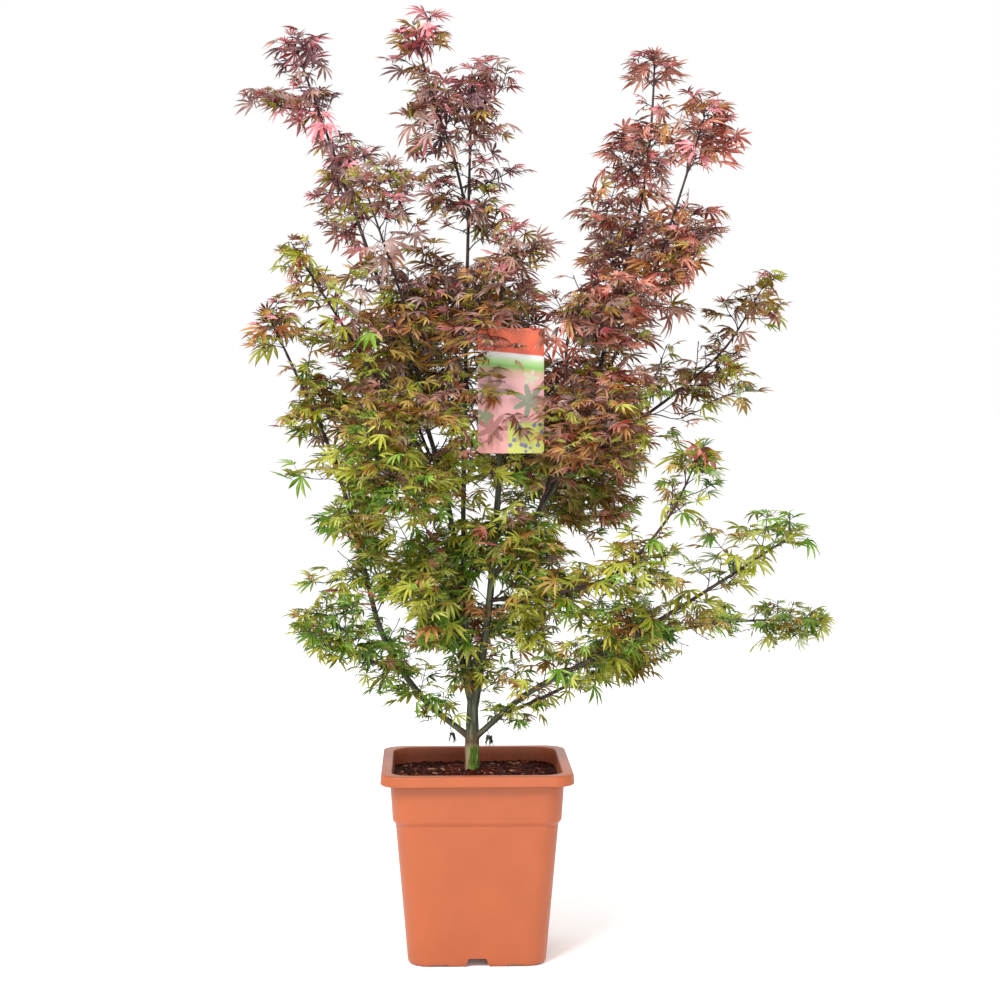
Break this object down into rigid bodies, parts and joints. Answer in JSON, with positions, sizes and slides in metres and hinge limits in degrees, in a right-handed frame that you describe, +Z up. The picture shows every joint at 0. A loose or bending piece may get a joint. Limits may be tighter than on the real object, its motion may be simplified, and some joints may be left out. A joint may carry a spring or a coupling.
{
  "type": "potted japanese maple shrub",
  "caption": "Young many-stemmed japanese maple in a square moulded pot, with a red, rust and green open crown of finger-lobed leaves and a hanging card.",
  "frame": {"origin": "middle of the pot's flat underside, on the surface that the pot stands on", "axes": "+Z up the plant, +X to the right and +Y to the back as the plant is looked at from its card's side"},
  "size_m": [0.8728, 0.5544, 1.3227],
  "materials": {
    "pot_plastic": "satin",
    "compost": "matte",
    "bark": "matte",
    "red_leaves": "satin",
    "rust_leaves": "satin",
    "green_leaves": "satin",
    "printed_card": "gloss"
  },
  "bodies": {
    "root": {"back_left_bough": "bark", "back_left_bough_leaves_1": "rust_leaves", "back_right_bough": "bark", "back_right_bough_leaves_1": "rust_leaves", "centre_leader": "bark", "centre_leader_leaves_1": "red_leaves", "centre_leader_leaves_2": "red_leaves", "centre_leader_leaves_3": "red_leaves", "centre_leader_leaves_4": "green_leaves", "centre_left_leader": "bark", "centre_left_leader_leaves_1": "red_leaves", "centre_left_leader_leaves_2": "red_leaves", "centre_right_leader": "bark", "centre_right_leader_leaves_1": "red_leaves", "far_low_right_bough": "bark", "far_low_right_bough_leaves_1": "green_leaves", "far_right_leader": "bark", "far_right_leader_leaves_1": "red_leaves", "far_right_leader_leaves_2": "red_leaves", "front_left_bough": "bark", "front_left_bough_leaves_1": "rust_leaves", "left_side_bough": "bark", "left_side_bough_leaves_1": "red_leaves", "low_left_branch": "bark", "low_left_branch_leaves_1": "green_leaves", "low_right_branch": "bark", "low_right_branch_leaves_1": "green_leaves", "lower_left_bough": "bark", "lower_left_bough_leaves_1": "rust_leaves", "lower_left_bough_leaves_2": "rust_leaves", "lower_left_bough_leaves_3": "green_leaves", "lower_right_bough": "bark", "lower_right_bough_leaves_1": "green_leaves", "lower_right_bough_leaves_2": "green_leaves", "lower_right_bough_leaves_3": "green_leaves", "lower_right_bough_leaves_4": "green_leaves", "mid_right_bough": "bark", "mid_right_bough_leaves_1": "rust_leaves", "mid_right_bough_leaves_2": "green_leaves", "plant_label": "printed_card", "pot": "pot_plastic", "right_bough": "bark", "right_bough_leaves_1": "red_leaves", "right_bough_leaves_2": "rust_leaves", "right_inner_leader": "bark", "right_inner_leader_leaves_1": "red_leaves", "right_inner_leader_leaves_2": "rust_leaves", "right_leader": "bark", "right_leader_leaves_1": "red_leaves", "right_leader_leaves_2": "red_leaves", "right_leader_leaves_3": "red_leaves", "small_left_leader": "bark", "small_left_leader_leaves_1": "red_leaves", "soil": "compost", "trunk": "bark", "upper_left_leader": "bark", "upper_left_leader_leaves_1": "red_leaves", "upper_left_leader_leaves_2": "red_leaves", "upper_left_leader_leaves_3": "red_leaves", "upper_left_leader_leaves_4": "red_leaves"}
  },
  "joints": []
}
